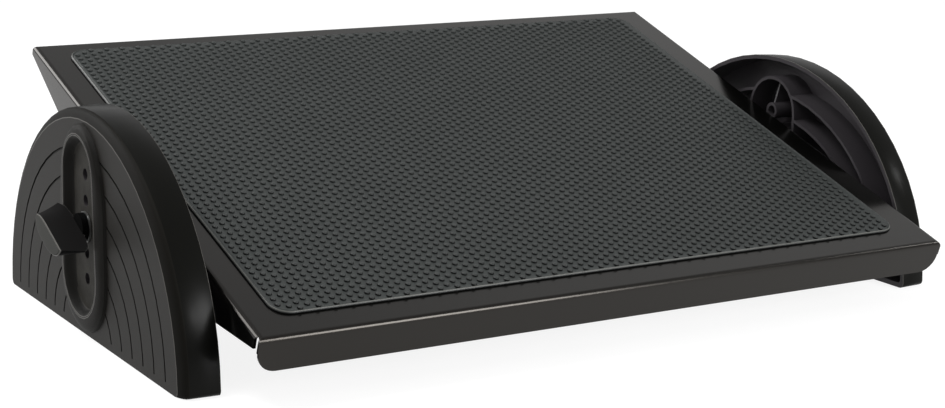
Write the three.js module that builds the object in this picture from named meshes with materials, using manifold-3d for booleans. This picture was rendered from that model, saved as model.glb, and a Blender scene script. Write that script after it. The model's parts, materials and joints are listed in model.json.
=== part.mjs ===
// Tilting under-desk foot platform: a folded steel deck with a rubber mat, hung between
// two moulded half-round side stands and clamped there by a wing knob on each side.
// Millimetres, +Z up, +X to the sitter's right, +Y away from the sitter.

import * as THREE from 'three';
import { mergeVertices } from 'three/addons/utils/BufferGeometryUtils.js';
import Module from 'manifold-3d';

const wasm = await Module();
wasm.setup();

// Deck: one sheet folded down on all four sides
const DECK_WIDTH = 450;
const DECK_DEPTH = 336.6;
const SHEET = 1.5;
const SIDE_BEND = 3.1;
const END_BEND = 3;
const FRONT_FLANGE = 19.8;
const FRONT_FLANGE_CORNER = 11;
const FRONT_FLANGE_INSET = 0.5;
const REAR_FLANGE = 6;
const EAR_TIP_DEPTH = 8.6;
const EAR_APEX_RADIUS = 23;
const RELIEF_WIDTH = 4.1;
const RELIEF_TOP = 0.8;

// Deck hang: where the tilt axis crosses the deck
const PIVOT_TO_FRONT = 168.5;
const PIVOT_DROP = 29.2;
const DECK_TILT = THREE.MathUtils.degToRad(17.7);

// Mat on the deck, with a raised rim
const MAT_SIDE_MARGIN = 17.6;
const MAT_FRONT_MARGIN = 17.7;
const MAT_REAR_MARGIN = 12.4;
const MAT_THICKNESS = 1.2;
const MAT_CORNER = 11;
const MAT_RIM_WIDTH = 1.4;
const MAT_RIM_RISE = 0.4;

// Side stand: half of an ellipse on a flat base, open towards the deck
const STAND_REACH = 134.2;
const STAND_HEIGHT = 127.2;
const STAND_THICKNESS = 20.6;
const STAND_DRAFT = 1.2;
const SHOULDER_DEPTH = 4.2;
const STAND_WALL = 2.6;
const STAND_BASE = 3;
const STAND_FOOT_ROUND = 3;
const CAVITY_FOOT_ROUND = 2;
const FACE_PLATE = 2.5;
const FACE_END_INSET = 7.6;
const FACE_TOP_INSET = 6.4;
const STAND_TO_DECK = 4.8;

// Row of height holes in each stand
const HOLE_COUNT = 5;
const USED_HOLE = 2;
const LOWEST_HOLE = 32.3;
const HOLE_PITCH = 14.65;
const BOSS_WALL = 2;

// Decorative grooves on the face, each with a rib behind it
const GROOVE_COUNT = 6;
const GROOVE_PITCH = 14.9;
const GROOVE_END_INSET = 22.6;
const GROOVE_TOP_INSET = 22.7;
const GROOVE_WIDTH = 1.4;
const GROOVE_DEPTH = 0.9;
const GROOVE_LIFT = 4.3;
const RIB_WALL = 1.8;

// Egg-shaped collar round the hole row, and the recess inside it
const COLLAR_RISE = 4;
const COLLAR_RADIUS = 32.5;
const COLLAR_LOW_LIFT = 2.5;
const COLLAR_SHOULDER_DROP = 21;
const COLLAR_TOP_MARGIN = 28.5;
const CREST_LOW_RADIUS = 25.7;
const CREST_LOW_LIFT = 4.2;
const CREST_HIGH_RADIUS = 22.9;
const CREST_LAND = 1;
const RECESS_RADIUS = 17;
const RECESS_DEPTH = 1;

// Pocket wall behind the recess, and the fin that stiffens its two ends
const POCKET_RADIUS = 23;
const POCKET_WALL = 2;
const FIN_WALL = 1.2;
const FIN_BOSS_DROP = 2;
const FIN_WALL_DROP = 7.6;

// Anti-slip pads let into the base
const PAD_LENGTH = 42;
const PAD_WIDTH = 14;
const PAD_CORNER = 3;
const PAD_RECESS = 1;
const PAD_PROUD = 0.5;
const PAD_END_MARGIN = 12;

// Clamp screw, its washers and the nut welded inside the deck's ear
const SCREW_RADIUS = 3;
const SCREW_CLEARANCE = 0.3;
const SCREW_TIP_CHAMFER = 0.8;
const SCREW_HEAD_FLATS = 10;
const SCREW_HEAD_HEIGHT = 2;
const NUT_FLATS = 10;
const NUT_HEIGHT = 5;
const WASHER_RADIUS = 8.75;
const WASHER_THICKNESS = 1;
const FRICTION_WASHER_RADIUS = 12;

// Wing knob: a low round hub with one half-moon wing standing out of it
const HUB_RADIUS = 8.5;
const HUB_HEIGHT = 4;
const HUB_CHAMFER = 0.6;
const HUB_FLOOR = 0.6;
const WING_LIFT = 2.4;
const WING_LENGTH = 17.5;
const WING_HALF_CHORD = 23;
const WING_END_HALF_CHORD = 20;
const WING_CORNER = 5;
const WING_THICKNESS = 8;
const WING_TIP_THICKNESS = 1.8;
const WING_BEVEL = 0.7;
const WING_FLAT_OFFSET = 1.2;
const WING_END_SLANT = THREE.MathUtils.degToRad(19);
const KNOB_TURN = THREE.MathUtils.degToRad(23.8);

// Fits, cuts and facets
const SEAT_GAP = 0.3;
const OVERRUN = 1;
const FACET_ERROR = 0.18;
const CORNER_STEPS = 4;
const SHOULDER_STEPS = 4;
const EGG_STEPS = 12;
const COLLAR_STEPS = 4;
const RECESS_STEPS = 5;
const SMALL_ROUND_STEPS = 24;
const WING_ARC_STEPS = 14;
const WING_CORNER_STEPS = 4;

// Sizes that follow from the ones above
const HALF_WIDTH = DECK_WIDTH / 2;
const DECK_FRONT = -PIVOT_TO_FRONT;
const DECK_BACK = DECK_DEPTH - PIVOT_TO_FRONT;
const STAND_PLANE = HALF_WIDTH + STAND_TO_DECK;
const HIGHEST_HOLE = LOWEST_HOLE + HOLE_PITCH * (HOLE_COUNT - 1);
const PIVOT_HEIGHT = LOWEST_HOLE + HOLE_PITCH * USED_HOLE;
const BORE_RADIUS = SCREW_RADIUS + SCREW_CLEARANCE;
const RECESS_PLANE = STAND_THICKNESS - RECESS_DEPTH;
const WASHER_PLANE = RECESS_PLANE + SEAT_GAP;
const KNOB_PLANE = WASHER_PLANE + WASHER_THICKNESS + SEAT_GAP;
const NUT_PLANE = HALF_WIDTH - SHEET - SEAT_GAP;

const COLLAR_FOOT = {
  low: LOWEST_HOLE + COLLAR_LOW_LIFT,
  lowRadius: COLLAR_RADIUS,
  high: HIGHEST_HOLE - COLLAR_SHOULDER_DROP,
  highRadius: COLLAR_RADIUS,
  highRise: COLLAR_SHOULDER_DROP + COLLAR_TOP_MARGIN,
};
const COLLAR_CREST = {
  low: LOWEST_HOLE + CREST_LOW_LIFT,
  lowRadius: CREST_LOW_RADIUS,
  high: HIGHEST_HOLE,
  highRadius: CREST_HIGH_RADIUS,
  highRise: CREST_HIGH_RADIUS,
};
const RECESS_RIM = {
  ...COLLAR_CREST,
  lowRadius: CREST_LOW_RADIUS - CREST_LAND,
  highRadius: CREST_HIGH_RADIUS - CREST_LAND,
  highRise: CREST_HIGH_RADIUS - CREST_LAND,
};
const RECESS_FLOOR = slotAroundHoles(RECESS_RADIUS);

// Solids and booleans

// Turns an outline drawn in X and Y into one that stands in Y and Z and grows along X.
const STAND_UP = new THREE.Matrix4().makeBasis(
  new THREE.Vector3(0, 1, 0),
  new THREE.Vector3(0, 0, 1),
  new THREE.Vector3(1, 0, 0),
);

function toSolid(geometry) {
  geometry.deleteAttribute('normal');
  geometry.deleteAttribute('uv');
  const merged = mergeVertices(geometry);
  return new wasm.Manifold(new wasm.Mesh({
    numProp: 3,
    vertProperties: new Float32Array(merged.attributes.position.array),
    triVerts: new Uint32Array(merged.index.array),
  }));
}

function toGeometry(solid) {
  const mesh = solid.getMesh();
  const geometry = new THREE.BufferGeometry();
  geometry.setAttribute('position', new THREE.BufferAttribute(mesh.vertProperties, 3));
  geometry.setIndex(new THREE.BufferAttribute(mesh.triVerts, 1));
  geometry.computeVertexNormals();
  return geometry;
}

function union(solids) {
  return solids.reduce((whole, solid) => whole.add(solid));
}

function prismAlongX(outline, from, to, holes = []) {
  const shape = new THREE.Shape(outline);
  shape.holes = holes.map((hole) => new THREE.Path(hole));
  const geometry = new THREE.ExtrudeGeometry(shape, { depth: to - from, bevelEnabled: false });
  geometry.applyMatrix4(STAND_UP);
  geometry.translate(from, 0, 0);
  return toSolid(geometry);
}

function prismAlongY(outline, from, to) {
  const geometry = new THREE.ExtrudeGeometry(new THREE.Shape(outline), {
    depth: to - from,
    bevelEnabled: false,
  });
  geometry.rotateX(Math.PI / 2);
  geometry.translate(0, to, 0);
  return toSolid(geometry);
}

function prismAlongZ(outline, from, to) {
  const geometry = new THREE.ExtrudeGeometry(new THREE.Shape(outline), {
    depth: to - from,
    bevelEnabled: false,
  });
  geometry.translate(0, 0, from);
  return toSolid(geometry);
}

// A solid of revolution about X from [x, radius] points that start and end on the axis.
function turnedAlongX(profile, steps = SMALL_ROUND_STEPS) {
  const points = profile.map(([x, radius]) => new THREE.Vector2(radius, x));
  const geometry = new THREE.LatheGeometry(points, steps);
  geometry.rotateZ(-Math.PI / 2);
  return toSolid(geometry);
}

function rodAlongX(radius, from, to, steps = SMALL_ROUND_STEPS) {
  return turnedAlongX([[from, 0], [from, radius], [to, radius], [to, 0]], steps);
}

// Joins rings of equally many points, listed from low x to high x, and caps both ends.
function loft(rings) {
  const count = rings[0].length;
  const flatRing = rings[0].map((point) => new THREE.Vector2(point.y, point.z));
  const index = [];
  for (let level = 0; level < rings.length - 1; level += 1) {
    for (let i = 0; i < count; i += 1) {
      const near = level * count + i;
      const next = level * count + ((i + 1) % count);
      index.push(near, next, next + count, near, next + count, near + count);
    }
  }
  const last = (rings.length - 1) * count;
  for (const [a, b, c] of THREE.ShapeUtils.triangulateShape(flatRing, [])) {
    index.push(c, b, a, last + a, last + b, last + c);
  }
  const geometry = new THREE.BufferGeometry().setFromPoints(rings.flat());
  geometry.setIndex(index);
  return toSolid(geometry);
}

// Outlines

function stepsFor(radius, sweep) {
  return Math.ceil(Math.abs(sweep) / (2 * Math.acos(1 - FACET_ERROR / radius)));
}

function arc(centre, radii, from, to, steps = stepsFor(Math.max(...radii), to - from)) {
  return Array.from({ length: steps + 1 }, (_, i) => {
    const angle = THREE.MathUtils.lerp(from, to, i / steps);
    return new THREE.Vector2(
      centre[0] + radii[0] * Math.cos(angle),
      centre[1] + radii[1] * Math.sin(angle),
    );
  });
}

function circle(radius, steps = SMALL_ROUND_STEPS) {
  return arc([0, 0], [radius, radius], 0, 2 * Math.PI, steps).slice(0, -1);
}

function hexagon(flats) {
  return circle(flats / Math.sqrt(3), 6);
}

function roundedRectangle(left, right, bottom, top, radius) {
  const quarter = Math.PI / 2;
  const corner = (x, y, start) => arc([x, y], [radius, radius], start, start + quarter, CORNER_STEPS);
  return [
    ...corner(right - radius, bottom + radius, -quarter),
    ...corner(right - radius, top - radius, 0),
    ...corner(left + radius, top - radius, quarter),
    ...corner(left + radius, bottom + radius, 2 * quarter),
  ];
}

// Half of an ellipse about the origin, cut off level at base, with its two foot corners rounded.
function halfRound(reach, height, base, corner) {
  const start = Math.asin((base + corner) / height);
  const cornerY = reach * Math.cos(start) - corner;
  const steps = stepsFor(STAND_REACH, Math.PI);
  return [
    ...arc([cornerY, base + corner], [corner, corner], -Math.PI / 2, 0, CORNER_STEPS).slice(0, -1),
    ...arc([0, 0], [reach, height], start, Math.PI - start, steps),
    ...arc([-cornerY, base + corner], [corner, corner], Math.PI, 1.5 * Math.PI, CORNER_STEPS).slice(1),
  ];
}

// A band of even width along half of an ellipse.
function halfBand(reach, height, width) {
  const half = width / 2;
  return [
    ...arc([0, 0], [reach + half, height + half], 0, Math.PI),
    ...arc([0, 0], [reach - half, height - half], Math.PI, 0),
  ];
}

// An upright egg: a round lower end, straight sides and a round or pointed upper end.
function egg({ low, lowRadius, high, highRadius, highRise }, steps = EGG_STEPS) {
  return [
    ...arc([0, low], [lowRadius, lowRadius], Math.PI, 2 * Math.PI, steps),
    ...arc([0, high], [highRadius, highRise], 0, Math.PI, steps),
  ];
}

function slotAroundHoles(radius) {
  return {
    low: LOWEST_HOLE,
    lowRadius: radius,
    high: HIGHEST_HOLE,
    highRadius: radius,
    highRise: radius,
  };
}

function blendEggs(from, to, share) {
  const names = Object.keys(from);
  return Object.fromEntries(names.map((name) => [name, THREE.MathUtils.lerp(from[name], to[name], share)]));
}

function ringAt(x, outline) {
  return outline.map((point) => new THREE.Vector3(x, point.x, point.y));
}

// Deck: modelled level, with the tilt axis along X through the origin

// The space under a box top whose four upper edges are rounded, drawn in by inset all round.
function deckBlock(inset) {
  const top = PIVOT_DROP - inset;
  const bottom = -EAR_APEX_RADIUS - OVERRUN - inset;
  const side = HALF_WIDTH - inset;
  const front = DECK_FRONT + inset;
  const back = DECK_BACK - inset;
  const sideBend = SIDE_BEND - inset;
  const endBend = END_BEND - inset;
  const across = [
    new THREE.Vector2(-side, bottom),
    new THREE.Vector2(side, bottom),
    ...arc([side - sideBend, top - sideBend], [sideBend, sideBend], 0, Math.PI / 2, CORNER_STEPS),
    ...arc([sideBend - side, top - sideBend], [sideBend, sideBend], Math.PI / 2, Math.PI, CORNER_STEPS),
  ];
  const along = [
    new THREE.Vector2(front, bottom),
    new THREE.Vector2(back, bottom),
    ...arc([back - endBend, top - endBend], [endBend, endBend], 0, Math.PI / 2, CORNER_STEPS),
    ...arc([front + endBend, top - endBend], [endBend, endBend], Math.PI / 2, Math.PI, CORNER_STEPS),
  ];
  const runThrough = prismAlongY(across, DECK_FRONT - OVERRUN, DECK_BACK + OVERRUN);
  return runThrough.intersect(prismAlongX(along, -HALF_WIDTH - OVERRUN, HALF_WIDTH + OVERRUN));
}

// Side view of what stays of the folded sides: shallow tips that run down to a round apex
// about the tilt axis.
function earOutline() {
  const front = DECK_FRONT + SHEET + RELIEF_WIDTH;
  const frontTip = new THREE.Vector2(front, PIVOT_DROP - EAR_TIP_DEPTH);
  const backTip = new THREE.Vector2(DECK_BACK, PIVOT_DROP - REAR_FLANGE);
  const touchFront = frontTip.angle() + Math.acos(EAR_APEX_RADIUS / frontTip.length());
  const touchBack = backTip.angle() - Math.acos(EAR_APEX_RADIUS / backTip.length());
  const above = PIVOT_DROP + OVERRUN;
  const apexRadii = [EAR_APEX_RADIUS, EAR_APEX_RADIUS];
  return [
    new THREE.Vector2(DECK_FRONT - OVERRUN, above),
    new THREE.Vector2(DECK_FRONT - OVERRUN, frontTip.y),
    frontTip,
    ...arc([0, 0], apexRadii, touchFront, touchBack + 2 * Math.PI, CORNER_STEPS * 2),
    backTip,
    new THREE.Vector2(DECK_BACK + OVERRUN, backTip.y),
    new THREE.Vector2(DECK_BACK + OVERRUN, above),
  ];
}

function frontFlangeKeep() {
  const side = HALF_WIDTH - FRONT_FLANGE_INSET;
  const radius = FRONT_FLANGE_CORNER;
  const cornerZ = PIVOT_DROP - FRONT_FLANGE + radius;
  const above = PIVOT_DROP + OVERRUN;
  const outline = [
    new THREE.Vector2(-side, above),
    ...arc([radius - side, cornerZ], [radius, radius], Math.PI, 1.5 * Math.PI, CORNER_STEPS * 2),
    ...arc([side - radius, cornerZ], [radius, radius], 1.5 * Math.PI, 2 * Math.PI, CORNER_STEPS * 2),
    new THREE.Vector2(side, above),
  ];
  return prismAlongY(outline, DECK_FRONT - OVERRUN, DECK_FRONT + SHEET);
}

// The slot that lets the front and side bends meet at a front corner.
function cornerRelief() {
  const radius = RELIEF_WIDTH / 2;
  const y = DECK_FRONT + SHEET + radius;
  const z = PIVOT_DROP - RELIEF_TOP - radius;
  const outline = [
    new THREE.Vector2(y - radius, z - FRONT_FLANGE),
    new THREE.Vector2(y + radius, z - FRONT_FLANGE),
    ...arc([y, z], [radius, radius], 0, Math.PI, CORNER_STEPS * 2),
  ];
  const right = prismAlongX(outline, HALF_WIDTH - SIDE_BEND, HALF_WIDTH + OVERRUN);
  const left = prismAlongX(outline, -HALF_WIDTH - OVERRUN, SIDE_BEND - HALF_WIDTH);
  return right.add(left);
}

function deckPlate() {
  const tray = deckBlock(0).subtract(deckBlock(SHEET));
  const ears = prismAlongX(earOutline(), -HALF_WIDTH - OVERRUN, HALF_WIDTH + OVERRUN);
  const screwHoles = rodAlongX(BORE_RADIUS, -HALF_WIDTH - OVERRUN, HALF_WIDTH + OVERRUN);
  return tray
    .intersect(ears.add(frontFlangeKeep()))
    .subtract(cornerRelief())
    .subtract(screwHoles);
}

function footMat() {
  const bottom = PIVOT_DROP + SEAT_GAP;
  const side = HALF_WIDTH - MAT_SIDE_MARGIN;
  const front = DECK_FRONT + MAT_FRONT_MARGIN;
  const back = DECK_BACK - MAT_REAR_MARGIN;
  const field = roundedRectangle(
    MAT_RIM_WIDTH - side,
    side - MAT_RIM_WIDTH,
    front + MAT_RIM_WIDTH,
    back - MAT_RIM_WIDTH,
    MAT_CORNER - MAT_RIM_WIDTH,
  );
  const rimTop = bottom + MAT_THICKNESS + MAT_RIM_RISE;
  const slab = prismAlongZ(roundedRectangle(-side, side, front, back, MAT_CORNER), bottom, rimTop);
  return slab.subtract(prismAlongZ(field, bottom + MAT_THICKNESS, rimTop + OVERRUN));
}

// Side stand: modelled from its open plane at x = 0 outwards, with the face at STAND_THICKNESS

function draftAt(x) {
  return (STAND_DRAFT * x) / STAND_THICKNESS;
}

// The flat face ends in a crisp edge, and from there an oval shoulder falls away to the band.
function standOutside() {
  const start = STAND_THICKNESS - SHOULDER_DEPTH;
  const sweep = Math.PI / 4;
  const level = (x, endInset, topInset) => ringAt(
    x,
    halfRound(STAND_REACH - endInset, STAND_HEIGHT - topInset, 0, STAND_FOOT_ROUND),
  );
  const rings = [level(0, 0, 0)];
  for (let i = 0; i <= SHOULDER_STEPS; i += 1) {
    const angle = sweep * (i / SHOULDER_STEPS);
    const share = (1 - Math.cos(angle)) / (1 - Math.cos(sweep));
    rings.push(level(
      start + SHOULDER_DEPTH * (Math.sin(angle) / Math.sin(sweep)),
      THREE.MathUtils.lerp(draftAt(start), FACE_END_INSET, share),
      THREE.MathUtils.lerp(draftAt(start), FACE_TOP_INSET, share),
    ));
  }
  return loft(rings);
}

function standCavity() {
  const depth = STAND_THICKNESS - FACE_PLATE;
  const level = (x, inset) => ringAt(
    x,
    halfRound(STAND_REACH - inset, STAND_HEIGHT - inset, STAND_BASE, CAVITY_FOOT_ROUND),
  );
  return loft([level(-OVERRUN, STAND_WALL), level(depth, STAND_WALL + draftAt(depth))]);
}

// Grooves and ribs follow the same row of half ellipses.
function halfRoundRow(width, from, to) {
  return union(Array.from({ length: GROOVE_COUNT }, (_, i) => {
    const reach = STAND_REACH - GROOVE_END_INSET - GROOVE_PITCH * i;
    const height = STAND_HEIGHT - GROOVE_TOP_INSET - GROOVE_PITCH * i;
    return prismAlongX(halfBand(reach, height, width), from, to);
  }));
}

function faceGrooves() {
  const top = STAND_THICKNESS + OVERRUN;
  const below = roundedRectangle(-STAND_REACH, STAND_REACH, -GROOVE_LIFT, GROOVE_LIFT, GROOVE_LIFT / 2);
  const row = halfRoundRow(GROOVE_WIDTH, STAND_THICKNESS - GROOVE_DEPTH, top);
  return row.subtract(prismAlongX(below, 0, top + OVERRUN));
}

function collar() {
  const rings = [ringAt(STAND_THICKNESS - FACE_PLATE, egg(COLLAR_FOOT))];
  for (let i = 0; i <= COLLAR_STEPS; i += 1) {
    const angle = (Math.PI / 2) * (i / COLLAR_STEPS);
    const outline = egg(blendEggs(COLLAR_FOOT, COLLAR_CREST, 1 - Math.cos(angle)));
    rings.push(ringAt(STAND_THICKNESS + COLLAR_RISE * Math.sin(angle), outline));
  }
  return loft(rings);
}

function recess() {
  const rise = COLLAR_RISE + RECESS_DEPTH;
  const rings = [];
  for (let i = 0; i <= RECESS_STEPS; i += 1) {
    const share = i / RECESS_STEPS;
    const lift = rise * (1 - Math.cos(Math.PI * share)) / 2;
    rings.push(ringAt(RECESS_PLANE + lift, egg(blendEggs(RECESS_FLOOR, RECESS_RIM, share))));
  }
  rings.push(ringAt(RECESS_PLANE + rise + OVERRUN, egg(RECESS_RIM)));
  return loft(rings);
}

function alongHoles(radius, from, to, steps) {
  return union(Array.from({ length: HOLE_COUNT }, (_, i) => {
    const height = LOWEST_HOLE + HOLE_PITCH * i;
    return rodAlongX(radius, from, to, steps).translate([0, 0, height]);
  }));
}

// Thin fins that tie the first and last boss to the ends of the pocket wall.
function pocketFins() {
  const bossEdge = BORE_RADIUS + BOSS_WALL / 2;
  const wallEdge = POCKET_RADIUS - POCKET_WALL / 2;
  const fin = (centre, direction) => {
    const outline = [
      new THREE.Vector2(FIN_BOSS_DROP, centre + direction * bossEdge),
      new THREE.Vector2(FIN_WALL_DROP, centre + direction * wallEdge),
      new THREE.Vector2(RECESS_PLANE - FACE_PLATE / 2, centre + direction * wallEdge),
      new THREE.Vector2(RECESS_PLANE - FACE_PLATE / 2, centre + direction * bossEdge),
    ];
    return prismAlongY(outline, -FIN_WALL / 2, FIN_WALL / 2);
  };
  return fin(HIGHEST_HOLE, 1).add(fin(LOWEST_HOLE, -1));
}

function pocket() {
  const floor = RECESS_PLANE - FACE_PLATE;
  const outside = egg(slotAroundHoles(POCKET_RADIUS));
  const inside = egg(slotAroundHoles(POCKET_RADIUS - POCKET_WALL));
  const shell = prismAlongX(outside, 0, RECESS_PLANE - FACE_PLATE / 2)
    .subtract(prismAlongX(inside, -OVERRUN, floor));
  const bosses = alongHoles(BORE_RADIUS + BOSS_WALL, 0, RECESS_PLANE - FACE_PLATE / 2);
  return shell.add(bosses).add(pocketFins());
}

function padOutline(clearance) {
  const middle = STAND_THICKNESS / 2;
  const end = STAND_REACH - PAD_END_MARGIN;
  return roundedRectangle(
    middle - PAD_WIDTH / 2 - clearance,
    middle + PAD_WIDTH / 2 + clearance,
    end - PAD_LENGTH - clearance,
    end + clearance,
    PAD_CORNER,
  );
}

function padRecesses() {
  const back = prismAlongZ(padOutline(SEAT_GAP), -OVERRUN, PAD_RECESS);
  return back.add(back.mirror([0, 1, 0]));
}

function stand() {
  const ribs = halfRoundRow(RIB_WALL, 0, STAND_THICKNESS - FACE_PLATE / 2)
    .intersect(standOutside())
    .subtract(prismAlongX(egg(slotAroundHoles(POCKET_RADIUS - POCKET_WALL / 2)), -OVERRUN, STAND_THICKNESS));
  return standOutside()
    .subtract(standCavity())
    .subtract(faceGrooves())
    .add(collar())
    .subtract(recess())
    .add(ribs)
    .add(pocket())
    .subtract(alongHoles(BORE_RADIUS, -OVERRUN, STAND_THICKNESS + COLLAR_RISE, SMALL_ROUND_STEPS))
    .subtract(padRecesses());
}

function pad() {
  return prismAlongZ(padOutline(0), -PAD_PROUD, PAD_RECESS - SEAT_GAP);
}

// Clamp parts: modelled along X, pointing outwards

function ringWasher(radius, thickness) {
  return prismAlongX(circle(radius), 0, thickness, [circle(BORE_RADIUS)]);
}

function weldNut() {
  return prismAlongX(hexagon(NUT_FLATS), -NUT_HEIGHT, 0, [circle(BORE_RADIUS)]);
}

function knobScrew() {
  const start = HUB_FLOOR + SEAT_GAP;
  const length = KNOB_PLANE + STAND_TO_DECK + SHEET + SEAT_GAP + NUT_HEIGHT;
  const shank = turnedAlongX([
    [-length, 0],
    [-length, SCREW_RADIUS - SCREW_TIP_CHAMFER],
    [SCREW_TIP_CHAMFER - length, SCREW_RADIUS],
    [start + SCREW_HEAD_HEIGHT / 2, SCREW_RADIUS],
    [start + SCREW_HEAD_HEIGHT / 2, 0],
  ]);
  return shank.add(prismAlongX(hexagon(SCREW_HEAD_FLATS), start, start + SCREW_HEAD_HEIGHT));
}

// Half-moon section of the wing: flat on top, bulging downwards, with blunt bevelled tips.
function halfMoon(halfChord, thickness) {
  const bulge = thickness - WING_TIP_THICKNESS;
  const radius = (halfChord ** 2 + bulge ** 2) / (2 * bulge);
  const spread = Math.asin(halfChord / radius);
  const down = -Math.PI / 2;
  const centre = [0, radius - thickness];
  return [
    new THREE.Vector2(halfChord - WING_BEVEL, 0),
    new THREE.Vector2(WING_BEVEL - halfChord, 0),
    new THREE.Vector2(-halfChord, -WING_BEVEL),
    ...arc(centre, [radius, radius], down - spread, down + spread, WING_ARC_STEPS),
    new THREE.Vector2(halfChord, -WING_BEVEL),
  ];
}

function wing() {
  const rings = [];
  const level = (x, halfChord, thickness, slant) => halfMoon(halfChord, thickness).map(
    (point) => new THREE.Vector3(x - point.y * slant, point.x, point.y - WING_FLAT_OFFSET),
  );
  for (let i = 0; i <= WING_CORNER_STEPS; i += 1) {
    const angle = (Math.PI / 2) * (i / WING_CORNER_STEPS);
    const drawnIn = WING_CORNER * (1 - Math.sin(angle));
    const rise = WING_CORNER * (1 - Math.cos(angle));
    rings.push(level(WING_LIFT + rise, WING_HALF_CHORD - drawnIn, WING_THICKNESS - drawnIn / 2, 0));
  }
  const end = WING_LIFT + WING_LENGTH;
  const slant = Math.tan(WING_END_SLANT);
  rings.push(level(end - WING_BEVEL, WING_END_HALF_CHORD, WING_THICKNESS, slant));
  rings.push(level(end, WING_END_HALF_CHORD - WING_BEVEL, WING_THICKNESS - WING_BEVEL, slant));
  return loft(rings);
}

function knob() {
  const hub = turnedAlongX([
    [0, 0],
    [0, HUB_RADIUS],
    [HUB_HEIGHT - HUB_CHAMFER, HUB_RADIUS],
    [HUB_HEIGHT, HUB_RADIUS - HUB_CHAMFER],
    [HUB_HEIGHT, 0],
  ]);
  const headPocket = prismAlongX(
    hexagon(SCREW_HEAD_FLATS + 2 * SEAT_GAP),
    HUB_FLOOR,
    HUB_FLOOR + SCREW_HEAD_HEIGHT + 2 * SEAT_GAP,
  );
  const shankHole = rodAlongX(BORE_RADIUS, -OVERRUN, HUB_FLOOR + SEAT_GAP);
  return hub.add(wing()).subtract(headPocket).subtract(shankHole);
}

// Scene

const FINISHES = {
  coatedSteel: { color: '#45443f', roughness: 0.6, metalness: 0.2 },
  mouldedPlastic: { color: '#3b3a36', roughness: 0.55, metalness: 0 },
  knobPlastic: { color: '#232225', roughness: 0.45, metalness: 0 },
  mat: { color: '#3e4242', roughness: 0.9, metalness: 0 },
  padRubber: { color: '#26262a', roughness: 0.9, metalness: 0 },
  zinc: { color: '#b9bab6', roughness: 0.35, metalness: 0.9 },
  nylon: { color: '#2c2c2e', roughness: 0.5, metalness: 0 },
};

function piece(name, solid, finish) {
  const mesh = new THREE.Mesh(toGeometry(solid), new THREE.MeshStandardMaterial(FINISHES[finish]));
  mesh.name = name;
  return mesh;
}

function at(object, x, y, z) {
  object.position.set(x, y, z);
  return object;
}

// Screw, knob and washer of one side, turned about the screw's axis.
function clampGroup(side, turn) {
  const group = new THREE.Group();
  const washer = ringWasher(WASHER_RADIUS, WASHER_THICKNESS);
  group.add(at(piece(`${side}_knob`, knob(), 'knobPlastic'), KNOB_PLANE, 0, 0));
  group.add(at(piece(`${side}_knob_screw`, knobScrew(), 'zinc'), KNOB_PLANE, 0, 0));
  group.add(at(piece(`${side}_washer`, washer, 'zinc'), WASHER_PLANE, 0, 0));
  group.position.z = PIVOT_HEIGHT;
  group.rotation.x = turn;
  return group;
}

// A stand with its pads and clamp, facing +X. Its pads are named for where they end up.
function sideGroup(side, { padAtLowY, padAtHighY, knobTurn }) {
  const group = new THREE.Group();
  group.add(piece(`${side}_stand`, stand(), 'mouldedPlastic'));
  group.add(piece(`${side}_${padAtLowY}_pad`, pad().mirror([0, 1, 0]), 'padRubber'));
  group.add(piece(`${side}_${padAtHighY}_pad`, pad(), 'padRubber'));
  group.add(clampGroup(side, knobTurn));
  group.position.x = STAND_PLANE;
  return group;
}

function deckGroup() {
  const group = new THREE.Group();
  const frictionThickness = STAND_TO_DECK - 2 * SEAT_GAP;
  group.add(piece('deck_plate', deckPlate(), 'coatedSteel'));
  group.add(piece('foot_mat', footMat(), 'mat'));
  for (const [side, turn] of [['right', 0], ['left', Math.PI]]) {
    const end = new THREE.Group();
    const friction = ringWasher(FRICTION_WASHER_RADIUS, frictionThickness);
    end.add(at(piece(`${side}_weld_nut`, weldNut(), 'zinc'), NUT_PLANE, 0, 0));
    end.add(at(piece(`${side}_friction_washer`, friction, 'nylon'), HALF_WIDTH + SEAT_GAP, 0, 0));
    end.rotation.z = turn;
    group.add(end);
  }
  group.position.z = PIVOT_HEIGHT;
  group.rotation.x = DECK_TILT;
  return group;
}

// The two stands are one moulding: the left one is the right one turned half round.
function footrest() {
  const whole = new THREE.Group();
  const left = new THREE.Group();
  left.add(sideGroup('left', { padAtLowY: 'back', padAtHighY: 'front', knobTurn: -KNOB_TURN }));
  left.rotation.z = Math.PI;
  const right = sideGroup('right', { padAtLowY: 'front', padAtHighY: 'back', knobTurn: KNOB_TURN });
  whole.add(deckGroup(), left, right);
  return whole;
}

// The origin is the middle of the footprint, at floor level.
function stoodOnOrigin(whole) {
  const box = new THREE.Box3().setFromObject(whole, true);
  const middle = box.getCenter(new THREE.Vector3());
  whole.position.set(-middle.x, -middle.y, -box.min.z);
  const model = new THREE.Group();
  model.add(whole);
  return model;
}

export default stoodOnOrigin(footrest());
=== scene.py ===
# %% [markdown]
# # A tilting footrest for under a desk
#
# The real thing is a folded steel deck with a rubber mat, hung between two moulded side stands
# and clamped by a wing knob at each end. The CAD model already gives every solid its place, so
# this script loads it as a fixed frame. What is left for Blender is what the eye reads: soft
# edges, grain, nubs, gloss and light.

# %% Load the CAD frame
import json
import math

import bmesh
import bpy
from mathutils import Matrix, Vector


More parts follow.
